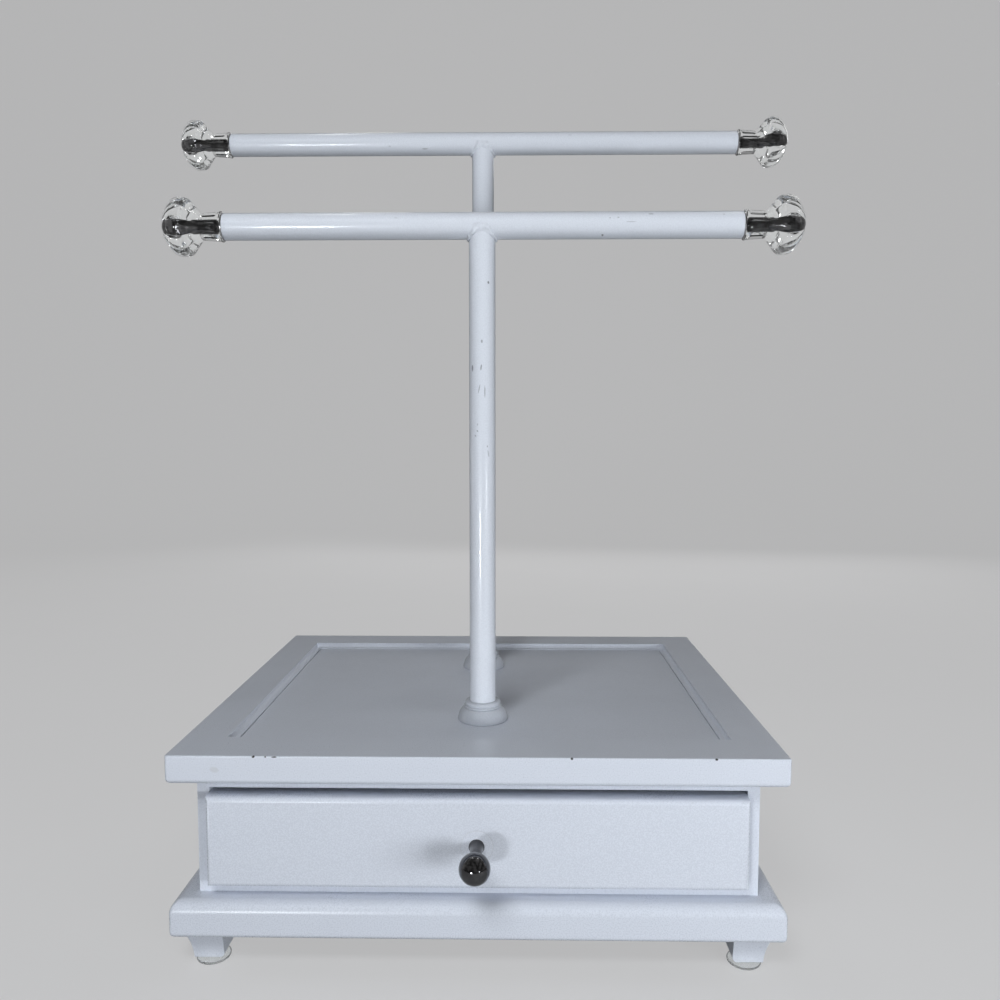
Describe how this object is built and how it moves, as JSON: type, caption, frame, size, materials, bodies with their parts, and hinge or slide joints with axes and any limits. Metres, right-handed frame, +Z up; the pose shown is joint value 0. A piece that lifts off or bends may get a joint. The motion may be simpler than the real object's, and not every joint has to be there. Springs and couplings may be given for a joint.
{
  "type": "jewelry stand with drawer",
  "caption": "White countertop jewelry stand: footed box with a pull-out drawer, framed tray top and T-shaped hanging bars with clear fluted end knobs.",
  "frame": {"origin": "middle of the whole footprint, from the knob's front to the plates' back edge and between the rear bar's two end knobs, on the surface that the pads rest on", "axes": "+Z up, +X to the right seen from the drawer's side along the bars, +Y from the drawer front to the back"},
  "size_m": [0.3994, 0.28, 0.4742],
  "materials": {
    "white_paint": "white semi-gloss lacquer over fibreboard",
    "drawer_box": "white satin lacquer over fibreboard",
    "white_tube": "white semi-gloss paint over steel tube",
    "clear_glass": "clear polished moulded glass",
    "nickel": "polished dark nickel plate",
    "steel": "zinc-plated steel",
    "clear_pad": "clear soft polyurethane",
    "felt": "pale grey felt"
  },
  "bodies": {
    "stand": {"bar_end_plug_front_left": "nickel", "bar_end_plug_front_right": "nickel", "bar_end_plug_rear_left": "nickel", "bar_end_plug_rear_right": "nickel", "bar_front": "white_tube", "bar_rear": "white_tube", "base_plate": "white_paint", "base_screws": "steel", "case_back": "white_paint", "case_bottom_board": "white_paint", "case_side_left": "white_paint", "case_side_right": "white_paint", "case_top_board": "white_paint", "finial_front_left": "clear_glass", "finial_front_right": "clear_glass", "finial_rear_left": "clear_glass", "finial_rear_right": "clear_glass", "finial_studs": "steel", "flange_front": "white_tube", "flange_rear": "white_tube", "foot_front_left": "white_paint", "foot_front_right": "white_paint", "foot_pad_front_left": "clear_pad", "foot_pad_front_right": "clear_pad", "foot_pad_rear_left": "clear_pad", "foot_pad_rear_right": "clear_pad", "foot_rear_left": "white_paint", "foot_rear_right": "white_paint", "foot_screws": "steel", "panel_screws": "steel", "post_bolts": "steel", "post_front": "white_tube", "post_plug_front": "steel", "post_plug_rear": "steel", "post_rear": "white_tube", "post_washers": "steel", "top_frame": "white_paint", "top_panel": "white_paint", "weld_front": "white_tube", "weld_rear": "white_tube"},
    "drawer": {"drawer_back": "drawer_box", "drawer_floor": "drawer_box", "drawer_front": "white_paint", "drawer_knob": "nickel", "drawer_liner": "felt", "drawer_side_left": "drawer_box", "drawer_side_right": "drawer_box", "knob_screw": "steel"}
  },
  "joints": [
    {"name": "drawer_slide", "type": "slide", "parent": "stand", "child": "drawer", "axis": [0, -1, 0], "range_m": [0, 0.17]}
  ]
}
